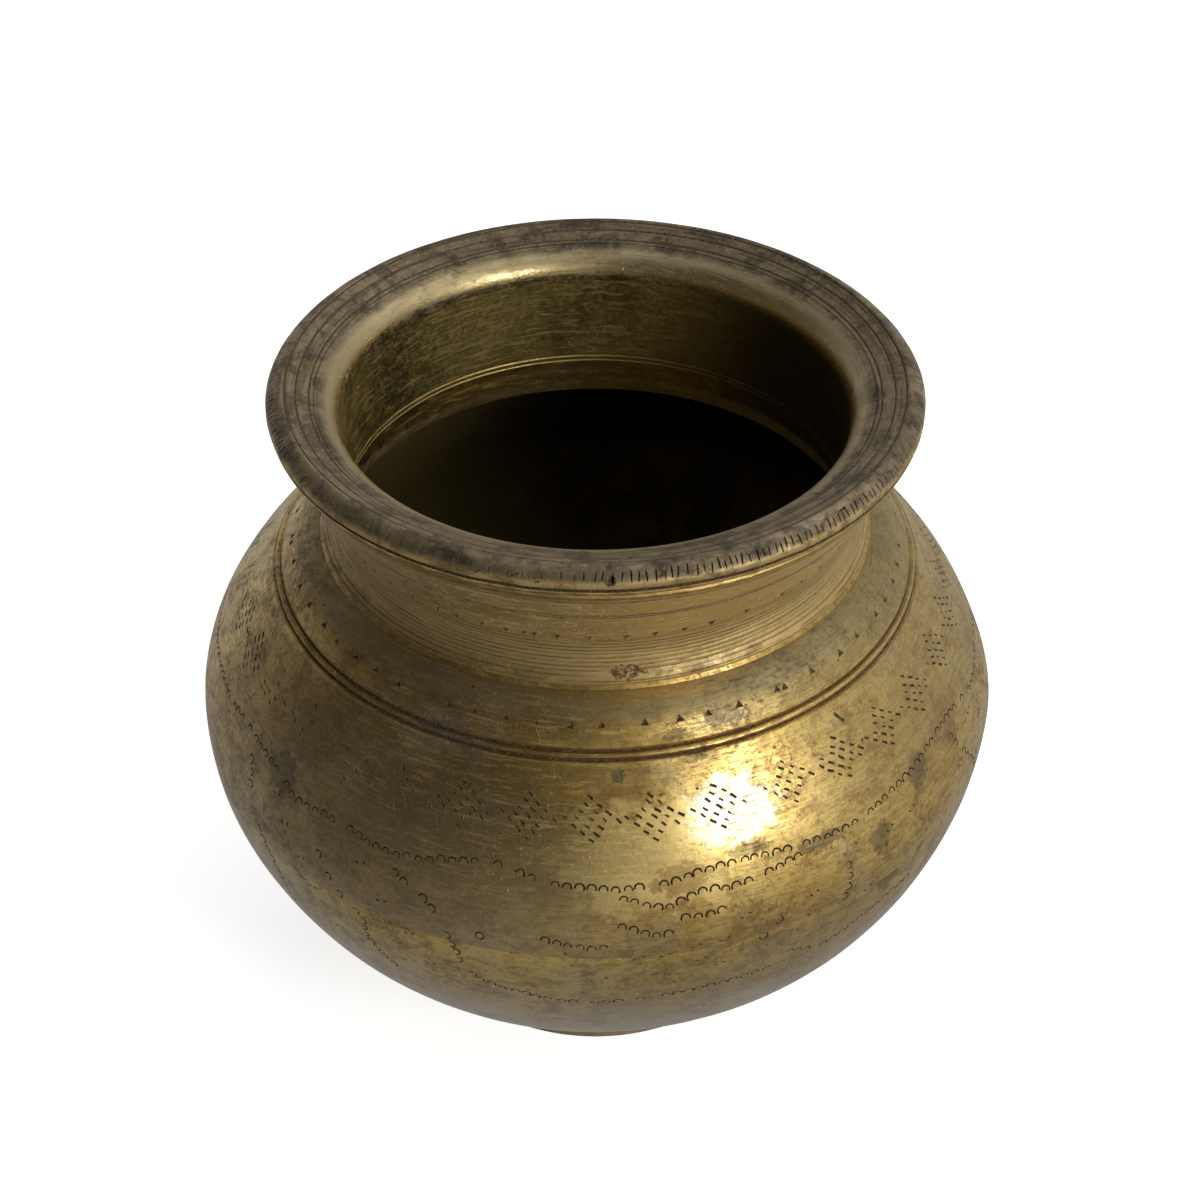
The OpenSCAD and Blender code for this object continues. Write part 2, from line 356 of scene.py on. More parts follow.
    def neck_outside(self):
        """From the flange to the crest."""
        s = self.s
        flange_z = SEAT_Z + s.braze
        band_low = self.flare(self.flare_top) + rz(0.3, 0.7)
        band_top = rz(RIM_R - 0.3, self.edge_z - 1)
        points = [rz(s.flange_r, flange_z), rz(s.flange_r, flange_z + 0.65),
                  rz(s.flange_r - 0.15, flange_z + 0.8)]
        points += self.lined(self.flare, flange_z + 1.6, self.flare_top, 60, self.fine_lines())
        points += [self.flare(self.flare_top) + rz(-0.15, 0.35)]
        points += bow(band_low, band_top, 0.15, 8)
        points += [rz(RIM_R - 0.9, self.edge_z - 0.7), rz(RIM_R - 0.4, self.edge_z - 0.5),
                   rz(RIM_R - 0.1, self.edge_z - 0.3), rz(RIM_R, self.edge_z)]
        return points + bow(rz(RIM_R, self.edge_z + s.edge_h), self.crest, s.crest_up / 5, 14)

    def neck(self):
        s = self.s
        bore_end = SEAT_Z + 3.2
        bore = lambda z: rz(s.bore_r, z)
        return ([rz(s.spigot_r, SEAT_Z - 3.7), rz(s.spigot_r, SEAT_Z + s.braze)]
                + self.neck_outside()[:-1]
                + self.lined(self.dish, 0, 1, 24, RIM_LINES, 0.05, 0.12)[:-1]
                + run(self.lip_at, self.lip_a, math.pi, 20)
                + run(bore, self.lip.y - 0.6, bore_end + 1.6, 16)
                + bow(rz(s.bore_r, bore_end + 1.5), rz(s.bore_r, bore_end + 0.9), -0.14, 5)
                + bow(rz(s.bore_r, bore_end + 0.6), rz(s.bore_r, bore_end + 0.1), -0.12, 5)
                + [rz(s.bore_r, bore_end), rz(s.bore_r + 0.25, bore_end - 0.12),
                   rz(s.bore_r + 0.88, bore_end - 0.4), rz(s.bore_r + 1.25, SEAT_Z + 0.8),
                   rz(s.bore_r + 1.1, SEAT_Z + 0.4), rz(s.spigot_r - 1.15, SEAT_Z - 3.7)])

    def foot(self):
        s = self.s
        under = self.foot_z - s.braze - 0.8
        land = [p - rz(0, s.braze) for p in run(self.pan, FOOT_R, self.foot_in, 8)]
        return (bow(rz(FOOT_R, 0.25), rz(FOOT_R, under), -0.6, 14)
                + land
                + [rz(self.foot_in, self.pan(self.foot_in).y - s.braze - 0.8),
                   rz(FOOT_R - s.foot_w, 0.25), rz(FOOT_R - s.foot_w + 0.25, 0), rz(FOOT_R - 0.25, 0)])

    def neck_seam(self):
        s = self.s
        flange_z = SEAT_Z + s.braze
        return [rz(s.flange_r, flange_z + 0.4), rz(s.flange_r, flange_z), rz(s.spigot_r, flange_z),
                rz(s.spigot_r, SEAT_Z - s.wall - 0.8), rz(self.hole_r + 0.35, SEAT_Z - s.wall - 0.45),
                rz(self.hole_r + 0.8, SEAT_Z - s.wall), rz(self.hole_r, SEAT_Z - s.wall),
                rz(self.hole_r, SEAT_Z), rz(s.flange_r + 0.4, SEAT_Z)]

    def belly_seam(self):
        s = self.s
        low = s.belly_z - s.lap_h / 2
        inside = self.dome_in(s.belly_z + s.lap_h / 2)
        inside_top = self.dome_in(s.belly_z + s.lap_h / 2 + self.seam_rise)
        bead = rz(inside.x - 0.12, (inside.y + inside_top.y) / 2)
        return [self.bowl_out(low), self.bowl_out(low + self.seam_rise), inside_top, bead, inside]

    def foot_seam(self):
        s = self.s
        meet = s.belly_z - round_z(FOOT_R + 0.8, BELLY_R, s.belly_z, s.bowl_full)
        land = run(self.pan, FOOT_R, self.foot_in, 8)
        under = [p - rz(0, s.braze) for p in land]
        return ([self.bowl_out(meet)] + land
                + [self.pan(self.foot_in - 0.8), rz(self.foot_in, under[-1].y - 0.8)]
                + under[::-1] + [rz(FOOT_R, self.foot_z - s.braze - 0.8)])


# ---------------------------------------------------------------- unevenness

def around(angle, r, z):
    """A point at an angle from the front."""
    a = math.radians(angle)
    return Vector((r * math.sin(a), -r * math.cos(a), z))


def ease(x, low, high):
    """0 below low, 1 above high, smooth between."""
    t = min(max((x - low) / (high - low), 0), 1)
    return t * t * (3 - 2 * t)


# Dents: angle, height, width and depth
DENTS = [
    (-25, 79.2, 3.6, 0.55), (-21, 80.6, 2.4, 0.30), (-30, 78.2, 3.2, 0.35), (-34, 72, 8, 0.30),
    (30, 66, 12, 0.35), (62, 60, 14, 0.45), (-74, 62, 13, 0.55), (-88, 48, 14, 0.40),
    (12, 34, 12, 0.35), (95, 68, 10, 0.35), (140, 52, 15, 0.50), (188, 66, 11, 0.40), (228, 40, 13, 0.45),
]
BODY_MIDDLE = Vector((0, 0, 55))


def sheet_in(point):
    """How far the raised sheet stands in from a true round."""
    aim = (point - BODY_MIDDLE).normalized()
    slow = 0.16 * (1 + noise.noise(aim * 1.9 + Vector((3, 1, 5))))
    planish = 0.045 * (1 + noise.noise(aim * 8.5 + Vector((9, 4, 2))))
    total = slow + planish
    for angle, height, width, depth in DENTS:
        gap = (aim - (around(angle, 58, height) - BODY_MIDDLE).normalized()).length * 58 / width
        total += depth * math.exp(-gap * gap)
    return total * (1 - ease(point.z, 81, 84.4)) * ease(point.z, 8, 13)


def uneven(point):
    """A point of the true round, moved to the hand-raised one."""
    return point - (point - BODY_MIDDLE).normalized() * sheet_in(point)


def worn_rim(point):
    """The rim's edge, rubbed a little out of true."""
    r = math.hypot(point.x, point.y)
    rub = 0.07 * (1 + noise.noise(point * 0.23)) * ease(r, 44.5, 47.5) * ease(point.z, 103, 107)
    flat = 0.05 * (1 + noise.noise(point * 0.11 + Vector((7, 7, 7)))) * ease(point.z, 108, 110)
    return Vector((point.x * (1 - rub / r), point.y * (1 - rub / r), point.z - flat))


# ---------------------------------------------------------------- punches

def made(bm, name="punch"):
    """The finished mesh; a punch can be struck many times."""
    mesh = bpy.data.meshes.new(name)
    bm.to_mesh(mesh)
    bm.free()
    return mesh


def three_sided(radius, depth):
    """A three-sided point, as tall as it is wide, its tip below the surface."""
    bm = bmesh.new()
    bmesh.ops.create_cone(bm, cap_ends=True, segments=3, radius1=radius * (1 + PROUD), radius2=0,
                          depth=depth * (1 + PROUD))
    bmesh.ops.rotate(bm, cent=(0, 0, 0), matrix=Matrix.Rotation(math.pi, 3, "Y"), verts=bm.verts)
    bmesh.ops.translate(bm, vec=(0, 0, depth * (PROUD - 1) / 2), verts=bm.verts)
    return made(bm)


def chisel(length, width, depth):
    """A short cut with a keel along its bottom."""
    bm = bmesh.new()
    bmesh.ops.create_cube(bm, size=1)
    for vert in bm.verts:
        low = vert.co.z < 0
        vert.co = Vector((vert.co.x * (0.5 if low else 1 + 0.5 * PROUD) * length,
                          vert.co.y * (0 if low else 1 + PROUD) * width,
                          -depth if low else depth * PROUD))
    bmesh.ops.remove_doubles(bm, verts=bm.verts, dist=MERGE)
    return made(bm)


def v_section(bm, radius, width, depth):
    """Three points of a V cut, at a radius from the punch's middle."""
    half = width / 2 * (1 + PROUD)
    return [bm.verts.new(co) for co in ((radius - half, 0, depth * PROUD), (radius + half, 0, depth * PROUD),
                                        (radius, 0, -depth))]


def horseshoe(radius, width, depth, turn=215, steps=7):
    """An open ring cut with a V edge, open towards -Y."""
    bm = bmesh.new()
    verts = v_section(bm, radius, width, depth)
    face = bm.faces.new(verts)
    bmesh.ops.rotate(bm, cent=(0, 0, 0), verts=verts,
                     matrix=Matrix.Rotation(math.radians(90 - turn / 2), 3, "Z"))
    bmesh.ops.spin(bm, geom=[face], cent=(0, 0, 0), axis=(0, 0, 1), dvec=(0, 0, 0),
                   angle=math.radians(turn), steps=steps)
    bmesh.ops.recalc_face_normals(bm, faces=bm.faces)
    return made(bm)


def ring(radius, width, depth, steps=14):
    """A whole ring cut with a V edge."""
    bm = bmesh.new()
    verts = v_section(bm, radius, width, depth)
    edges = [bm.edges.new((verts[i], verts[(i + 1) % 3])) for i in range(3)]
    bmesh.ops.spin(bm, geom=verts + edges, cent=(0, 0, 0), axis=(0, 0, 1), dvec=(0, 0, 0),
                   angle=math.tau, steps=steps, use_merge=True)
    bmesh.ops.recalc_face_normals(bm, faces=bm.faces)
    return made(bm)


def pick(radius, depth):
    """A rough round pit."""
    bm = bmesh.new()
    bmesh.ops.create_icosphere(bm, subdivisions=1, radius=1)
    for vert in bm.verts:
        rough = 1 + 0.3 * noise.noise(vert.co * 2.1)
        vert.co = Vector((vert.co.x * radius * rough, vert.co.y * radius * rough, vert.co.z * depth * rough))
    return made(bm)


class Skin:
    """The outside of a piece, where punches land."""

    def __init__(self, points, shape):
        self.points = sorted(points, key=lambda p: p.y)
        self.shape = shape

    def radius(self, z):
        points = self.points
        z = min(max(z, points[0].y), points[-1].y)
        for a, b in zip(points, points[1:]):
            if a.y <= z <= b.y and b.y > a.y:
                return a.x + (b.x - a.x) * (z - a.y) / (b.y - a.y)
        return points[-1].x

    def point(self, angle, z):
        return self.shape(around(angle, self.radius(z), z))

    def place(self, angle, z, turn=0, scale=1, lean=1.2):
        """A matrix whose X runs round the pot, Y up its slope and Z out of it."""
        here = self.point(angle, z)
        across = (self.point(angle + lean, z) - self.point(angle - lean, z)).normalized()
        up = (self.point(angle, z + lean / 2) - self.point(angle, z - lean / 2)).normalized()
        out = across.cross(up).normalized()
        up = out.cross(across)
        axes = Matrix((across, up, out)).transposed().to_4x4()
        axes.translation = here
        return axes @ Matrix.Rotation(math.radians(turn), 4, "Z") @ Matrix.Scale(scale, 4)


class Tools:
    """All the punches struck into one skin, kept clear of each other."""

    def __init__(self, skin, seed):
        self.skin = skin
        self.draw = random.Random(seed)
        self.bm = bmesh.new()
        self.struck = []

    def strike(self, punch, angle, z, turn=0, scale=1, clear=0.9):
        """Strikes a punch unless it would land on another."""
        place = self.skin.place(angle, z, turn, scale)
        here = place.translation
        if any((here - other).length < max(clear, room) for other, room in self.struck):
            return
        self.struck.append((here.copy(), clear * 0.9))
        before = len(self.bm.verts)
        self.bm.from_mesh(punch)
        self.bm.verts.ensure_lookup_table()
        bmesh.ops.transform(self.bm, matrix=place, verts=self.bm.verts[before:])

    def near(self, value, spread_by):
        return value + self.draw.uniform(-spread_by, spread_by)

    def mesh(self):
        bmesh.ops.recalc_face_normals(self.bm, faces=self.bm.faces)
        for face in self.bm.faces:
            face.material_index = GRIME
        bmesh.ops.scale(self.bm, vec=(MM, MM, MM), verts=self.bm.verts)
        return made(self.bm, "struck")


# Rows of points over a third of the round; the rows go three times round the pot.
THIRD = 120
NECK_ROW = [-59, -55, -51, -46, -39.5, -33.5, -28.5, -23, -18, -14.5, -12.2, -7.5, -1.5, 6, 12, 17.5, 23.5,
            31.5, 40.5, 46.5, 53]
COLLAR_ROW = [-58, -53, -47.5, -42, -36.5, -26, -21, -15.5, -10.5, -4.5, 1, 8.5, 14.8, 19.5, 25.5, 33.3, 35.2,
              41.5, 49, 54.8]
LOZENGES = [-60.5, -50, -39.5, -29.5, -20, -9.5, -0.5, 8.8, 18.5, 30, 40, 49.5]
# Heights of the rows of lozenges and of points
LOZENGE_Z = 72.7
COLLAR_ROW_Z = 82.45
NECK_ROW_Z = 93.05
# A lozenge: the steps between its columns and rows of dashes, and half its width and height
COLUMN_STEP = (1.38, -1.06)
ROW_STEP = (-0.62, -0.95)
LOZENGE_HALF = (4.8, 3.5)
# Lines of horseshoes: (angle, height) points that each line runs through
BORDER = [(-60, 66.4), (-52, 65.6), (-45, 64.2), (-38, 64.8), (-30, 64.1), (-24, 64.9), (-14, 66.6),
          (-8, 65.2), (0, 64.4), (8, 64.5), (18, 65.6), (28, 65.0), (36, 64.4), (44, 65.0), (52, 65.6),
          (60, 66.4)]
GARLANDS = [
    [(3.5, 63), (9.5, 61.5), (14, 62.9), (19.5, 62.5), (28.5, 63.6)],
    [(-27.5, 61.9), (-21, 57.9), (-19, 53.2), (-17.2, 47.8), (-13.5, 44.8), (-3, 42.2), (5, 42.3), (13, 43.3),
     (25, 44.7)],
    [(27, 47.2), (32.7, 44.8), (40, 46.8), (50, 48.3)],
    [(-41, 60.6), (-36, 54.6), (-32.5, 51.8), (-32.2, 46.6), (-28.3, 41.2)],
    [(-57.5, 63.7), (-54.5, 58.3), (-50.7, 52.3), (-49.2, 47.4), (-48.5, 42)],
    [(26, 58.5), (24, 55), (22, 53.2)],
    [(36, 59.2), (35.5, 56.5), (34.5, 53.5)],
    [(-6.5, 56.6), (-3.5, 56.0), (-0.5, 55.6), (2, 56.0)],
    [(3.5, 59.2), (8, 57.5), (10.5, 57.8)],
    [(11.8, 59.7), (14.5, 59.3), (18, 60.2)],
]
# Pairs of dots: (angle, height) of the middle of each
PAIRS = [(-50, 62.9), (-47, 60), (-43, 56.6), (-41, 52.2), (-37.5, 45.7), (-33, 61.3), (-29, 57), (-25, 52.6),
         (-22.5, 46.6), (5.5, 53.5), (9, 53.6), (13, 54.6), (16.8, 54.9), (13.8, 51.6), (19.8, 58),
         (22.4, 50.8), (16.5, 49.5), (2.3, 46.6), (11, 46.8), (30, 57.6), (29.5, 54.4), (27, 51.6), (39, 53.5),
         (44, 60.9), (49, 61)]


def along(points, step, skin):
    """Places every step along a smooth line through the points, with the way it runs."""
    fine_steps = 60
    ends = [points[0]] + points + [points[-1]]
    fine = []
    for i in range(1, len(ends) - 2):
        p0, p1, p2, p3 = (Vector(p) for p in ends[i - 1:i + 3])
        for j in range(fine_steps):
            t = j / fine_steps
            fine.append(0.5 * (2 * p1 + (p2 - p0) * t + (2 * p0 - 5 * p1 + 4 * p2 - p3) * t * t
                               + (3 * p1 - p0 - 3 * p2 + p3) * t * t * t))
    fine.append(Vector(points[-1]))
    gone, places = step, []
    for a, b in zip(fine, fine[1:]):
        across = math.radians(b.x - a.x) * skin.radius(a.y)
        length = math.hypot(across, b.y - a.y)
        gone += length
        if gone >= step:
            gone -= step
            places.append((b.x, b.y, math.degrees(math.atan2(b.y - a.y, across))))
    return places


# The punches nearer the left than this are rubbed nearly away
WORN_BELOW = -24


def strike_body(tools, marks):
    """Lozenges of dashes, the border, garlands and pairs of dots on the body."""
    dash = chisel(marks.dash, 0.34, marks.depth * 0.9)
    shoe = horseshoe(marks.shoe, 0.28, marks.depth * 0.9)
    dot = chisel(0.55, 0.3, marks.depth * 0.8)
    near = tools.near
    for third in range(3):
        turn = third * THIRD
        for middle in LOZENGES:
            faded = third == 0 and middle < WORN_BELOW
            centre, height = middle + near(turn, 0.4), near(LOZENGE_Z, 0.3)
            for row in range(-5, 6):
                for column in range(-4, 5):
                    across = column * COLUMN_STEP[0] + row * ROW_STEP[0] + near(0, 0.14)
                    up = column * COLUMN_STEP[1] + row * ROW_STEP[1] + near(0, 0.12)
                    outside = abs(across) / LOZENGE_HALF[0] + abs(up) / LOZENGE_HALF[1] > near(1.0, 0.08)
                    if outside or faded and tools.draw.random() < 0.6:
                        continue
                    size = near(1, 0.25) * (0.75 if faded else 1)
                    tools.strike(dash, centre + across, height + up * 0.82, near(-40, 9), size, 0.6)
        for line in [BORDER] + GARLANDS:
            for angle, height, way in along(line, marks.shoe_step, tools.skin):
                if tools.draw.random() > 0.14:
                    tools.strike(shoe, angle + near(turn, 0.15), near(height, 0.14), near(way, 16),
                                 near(0.97, 0.14), 1.38)
        for angle, height in PAIRS:
            for side in (-0.55, 0.55):
                tools.strike(dot, angle + turn + side, near(height + side * 0.3, 0.08), near(-20, 20), 1, 0.7)


def strike_body_extras(tools, marks):
    """Single marks: a ring punch, gouges and small pits."""
    tools.strike(ring(0.62, 0.3, marks.depth * 0.8), -15, 56, clear=1.0)
    gouge = chisel(2.2, 0.55, 0.2)
    pit = pick(0.3, 0.16)
    tools.strike(gouge, 42.5, 76.6, -58, 1, 1.2)
    tools.strike(gouge, 60, 45, 30, 0.7, 1.2)
    tools.strike(gouge, 205, 62, 70, 0.8, 1.2)
    for _ in range(45):
        angle, height = tools.draw.uniform(0, 360), tools.draw.uniform(26, 78)
        tools.strike(pit, angle, height, tools.draw.uniform(0, 90), tools.draw.uniform(0.45, 1.1), 0.8)


def strike_collar(tools, marks):
    """The row of points on the collar."""
    point = three_sided(marks.point, marks.depth * 1.3)
    for third in range(3):
        for angle in COLLAR_ROW:
            worn = 0.82 if -35 < angle < -5 else 1
            tools.strike(point, tools.near(angle + third * THIRD, 0.3), tools.near(COLLAR_ROW_Z, 0.12),
                         tools.near(0, 9), worn * tools.near(1, 0.08), 1)
    pit = pick(0.34, 0.2)
    tools.strike(pit, -3.5, 87.4, 20, 1, 0.8)
    for _ in range(16):
        tools.strike(pit, tools.draw.uniform(0, 360), tools.draw.uniform(80.6, 84.4), 0,
                     tools.draw.uniform(0.4, 0.9), 0.8)


def strike_neck(tools, marks, edge_z):
    """The row of points on the neck and the nicks on the rim."""
    point = three_sided(marks.point, marks.depth * 1.3)
    for third in range(3):
        for angle in NECK_ROW:
            tools.strike(point, tools.near(angle + third * THIRD, 0.3), tools.near(NECK_ROW_Z, 0.1),
                         tools.near(180, 8), tools.near(0.95, 0.08), 1)
    nick = chisel(marks.nick * 0.8, 0.24, 0.3)
    angle = 0.0
    while angle < 360:
        crowd = ease(math.sin(math.radians(angle * 3 + 8)), -0.4, 0.4)
        strong = 0.72 + 0.28 * crowd
        tools.strike(nick, angle, tools.near(edge_z + 1.35, 0.16), tools.near(86, 9),
                     strong * tools.near(1, 0.2), 0.4)
        angle += tools.draw.uniform(0.9, 1.6) + (1 - crowd) * tools.draw.uniform(0.3, 2.0)
    gouge = pick(0.9, 0.4)
    tools.strike(gouge, 2.3, edge_z + 1.0, 70, 1, 0.4)
    scar = chisel(2.4, 0.5, 0.22)
    for _ in range(26):
        tools.strike(scar, tools.draw.uniform(0, 360), edge_z + tools.draw.uniform(0.5, 2.1),
                     tools.draw.uniform(-30, 60), tools.draw.uniform(0.3, 0.8), 0.7)


# ---------------------------------------------------------------- pieces

def spun(name, outline, steps, shape, finish_at, finishes):
    """A closed outline spun into a ring or bowl; finish_at picks a face's finish from its place."""
    bm = bmesh.new()
    verts = [bm.verts.new((p.x, 0, p.y)) for p in outline]
    edges = [bm.edges.new((verts[i], verts[(i + 1) % len(verts)])) for i in range(len(verts))
             if outline[i].x + outline[(i + 1) % len(outline)].x > 1e-6]
    bmesh.ops.spin(bm, geom=verts + edges, cent=(0, 0, 0), axis=(0, 0, 1), dvec=(0, 0, 0),
                   angle=math.tau, steps=steps, use_merge=True)
    bmesh.ops.remove_doubles(bm, verts=bm.verts, dist=MERGE)
    bmesh.ops.recalc_face_normals(bm, faces=bm.faces)
    for face in bm.faces:
        middle = face.calc_center_median()
        face.material_index = finish_at(math.hypot(middle.x, middle.y), middle.z)
        face.smooth = True
    for vert in bm.verts:
        vert.co = shape(vert.co) * MM
    mesh = made(bm, name)
    for finish in finishes:
        mesh.materials.append(finish)
    mesh.set_sharp_from_angle(angle=SHARP)
    return new_object(name, mesh)


def new_object(name, data):
    thing = bpy.data.objects.new(name, data)
    bpy.context.scene.collection.objects.link(thing)
    return thing


def struck(piece, tool_mesh):
    """Cuts the tools out of a piece and keeps the piece's own smooth shading round the cuts."""
    plain = piece.data
    for finish in plain.materials:
        tool_mesh.materials.append(finish)
    cutter = new_object("cutter", tool_mesh)
    cut = piece.modifiers.new("cut", "BOOLEAN")
    cut.operation = "DIFFERENCE"
    cut.solver = "MANIFOLD"
    cut.object = cutter
    bpy.context.view_layer.update()
    graph = bpy.context.evaluated_depsgraph_get()
    result = bpy.data.meshes.new_from_object(piece.evaluated_get(graph))
    piece.modifiers.clear()
    bpy.data.objects.remove(cutter)
    bpy.data.meshes.remove(tool_mesh)
    if len(result.polygons) < len(plain.polygons):
        raise RuntimeError(f"the punches spoiled {piece.name}")
    shade_like(result, plain)
    piece.data = result
    result.name = piece.name
    bpy.data.meshes.remove(plain)


def shade_like(result, plain):
    """Gives each face that was left of the plain mesh its normals, and leaves cuts flat."""
    coords = [v.co.copy() for v in plain.vertices]
    polygons = [tuple(p.vertices) for p in plain.polygons]
    starts = [p.loop_start for p in plain.polygons]
    corner = [n.vector.copy() for n in plain.corner_normals]
    tree = BVHTree.FromPolygons(coords, polygons)
    normals = [None] * len(result.loops)
    for polygon in result.polygons:
        polygon.use_smooth = True
        loops = polygon.loop_indices
        if polygon.material_index == GRIME:
            for loop in loops:
                normals[loop] = polygon.normal.copy()
            continue
        for loop in loops:
            co = result.vertices[result.loops[loop].vertex_index].co
            probe = co.lerp(polygon.center, 0.04)
            _, _, index, _ = tree.find_nearest(probe)
            shape = [coords[v] for v in polygons[index]]
            weights = poly_3d_calc(shape, probe)
            normal = Vector((0, 0, 0))
            for k, weight in enumerate(weights):
                normal += corner[starts[index] + k] * weight
            normals[loop] = normal.normalized()
    result.normals_split_custom_set(normals)


def hand_in(piece, slot, *nodes):
    """Fixes a piece to the pot in place of its CAD nodes."""
    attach(piece, "root")
    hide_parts(*nodes)


# ---------------------------------------------------------------- finishes

# Depth of the surface's grain in metres, on metal and in dirt
BUMP = 0.00006
DIRT_BUMP = 0.00004
# Weight and roughness of the thin film of wax and handling
COAT = 0.25
COAT_ROUGHNESS = 0.34
# Tints that several pieces share; the grey is a painted reflection of the pale floor on the left side of the
# body
PAINTED_REFLECTION_GREY = (0.33, 0.30, 0.23)
# A tan laid over the right of the shoulder: painted shade
PAINTED_SHADE_TAN = (0.34, 0.27, 0.13)

class Value:
    """A shader socket that Python's arithmetic builds on."""

    def __init__(self, finish, socket):
        self.finish = finish
        self.socket = socket

    def maths(self, operation, *values):
        node = self.finish.node("ShaderNodeMath", {"operation": operation}, dict(enumerate(values)))
        return Value(self.finish, node.outputs[0])

    def __add__(self, other):
        return self.maths("ADD", self, other)

    def __sub__(self, other):
        return self.maths("SUBTRACT", self, other)

    def __rsub__(self, other):
        return self.maths("SUBTRACT", other, self)

    def __mul__(self, other):
        return self.maths("MULTIPLY", self, other)

    def __truediv__(self, other):
        return self.maths("DIVIDE", self, other)

    def __pow__(self, other):
        return self.maths("POWER", self, other)

    __radd__ = __add__
    __rmul__ = __mul__

    def ease(self, low, high):
        """0 at low and 1 at high, smooth between, or the other way round where low is the larger."""
        node = self.finish.node("ShaderNodeMapRange", {"interpolation_type": "SMOOTHSTEP"},
                                {0: self, 1: low, 2: high, 3: 0.0, 4: 1.0})
        return Value(self.finish, node.outputs[0])

    def greater(self, other):
        return self.maths("MAXIMUM", self, other)


class Finish:
    """A material under construction, with coordinates in millimetres."""

    def __init__(self, name, tree=None):
        if tree:
            self.tree = tree
            self.tree.nodes.clear()
            return
        self.material = bpy.data.materials.new(name)
        self.material.use_nodes = True
        self.tree = self.material.node_tree
        self.tree.nodes.clear()
        place = self.node("ShaderNodeTexCoord").outputs["Object"]
        self.mm = self.node("ShaderNodeVectorMath", {"operation": "SCALE"}, {0: place, 3: 1 / MM}).outputs[0]
        parts = self.node("ShaderNodeSeparateXYZ", {}, {0: self.mm}).outputs
        self.x, self.y, self.z = (Value(self, part) for part in parts)
        self.r = (self.x * self.x + self.y * self.y) ** 0.5

    def node(self, kind, settings=None, values=None):
        node = self.tree.nodes.new(kind)
        for name, setting in (settings or {}).items():
            if name == "stops":
                for i, (place, colour) in enumerate(setting):
                    stop = node.color_ramp.elements[i] if i < 2 else node.color_ramp.elements.new(place)
                    stop.position = place
                    stop.color = (*colour, 1)
            else:
                setattr(node, name, setting)
        for key, value in (values or {}).items():
            socket = node.inputs[key]
            if isinstance(value, Value):
                value = value.socket
            if isinstance(value, bpy.types.NodeSocket):
                self.tree.links.new(value, socket)
            elif socket.type == "RGBA" and len(value) == 3:
                socket.default_value = (*value, 1)
            else:
                socket.default_value = value
        return node

    def grain(self, scale, detail=2.0, rough=0.5, warp=0.0, where=None):
        """Noise whose features are about 1/scale millimetres apart."""
        node = self.node("ShaderNodeTexNoise", {},
                         {"Vector": where or self.mm, "Scale": scale, "Detail": detail,
                          "Roughness": rough, "Distortion": warp})
        return Value(self, node.outputs[0])

    def vector(self, x, y, z):
        return self.node("ShaderNodeCombineXYZ", {}, {0: x, 1: y, 2: z}).outputs[0]

    def mix(self, share, a, b):
        return self.node("ShaderNodeMix", {"data_type": "RGBA"}, {0: share, 6: a, 7: b}).outputs[2]

    def spot(self, angle, r, z, size, ragged=0.35, wide=1.0):
        """1 inside a ragged spot on the surface, 0 outside it; wide above 1 makes it wider than tall."""
        middle = around(angle, r, z)
        a = math.radians(angle)
        gap_x, gap_y, gap_z = self.x - middle.x, self.y - middle.y, self.z - middle.z
        across = gap_x * math.cos(a) + gap_y * math.sin(a)
        into = gap_x * math.sin(a) - gap_y * math.cos(a)
        across = across / wide
        gap = (across * across + into * into + gap_z * gap_z) ** 0.5 / size
        rough = self.grain(2.4 / size, 3.0, 0.6) - 0.5
        return (gap + rough * (ragged * 2.4)).ease(1.12, 0.78)

    def lathe(self, lean, scale, where_scale=0.02, detail=3.0):
        """Fine rings round the axis, which lean says how to tell apart by height and radius."""
        level = self.z + self.r * lean
        drawn_out = self.vector(self.x * where_scale, self.y * where_scale, level)
        return self.grain(scale, detail, 0.65, 0.0, drawn_out)

    def done(self, colour, roughness, height, bump=BUMP, metallic=1.0, coat=COAT):
        bumped = self.node("ShaderNodeBump", {},
                           {"Strength": 1.0, "Distance": bump, "Height": height}).outputs[0]
        shader = self.node("ShaderNodeBsdfPrincipled", {},
                           {"Base Color": colour, "Metallic": metallic, "Roughness": roughness,
                            "Normal": bumped, "Coat Weight": coat, "Coat Roughness": COAT_ROUGHNESS})
        out = self.node("ShaderNodeOutputMaterial", {}, {"Surface": shader.outputs[0]})
        out.is_active_output = True
        return self.material


class Look:
    """What a finish shows at a place: its colour, roughness and how bare the metal is."""

    def __init__(self, f, colour, rough):
        self.f = f
        self.colour = colour
        self.rough = rough
        self.metal = 1.0
        self.coat = COAT

    def stain_and_shade(self, mask, tint, share=0.9, dry=0.2, crust=0.0):
        """Tints the metal inside a mask, with stains and with painted light and shade; crust says how far the
        tint hides the metal.
        """
        self.colour = self.f.mix(mask * share, self.colour, tint)
        self.rough = self.rough + mask * dry
        if crust:
            self.metal = self.metal - mask * crust


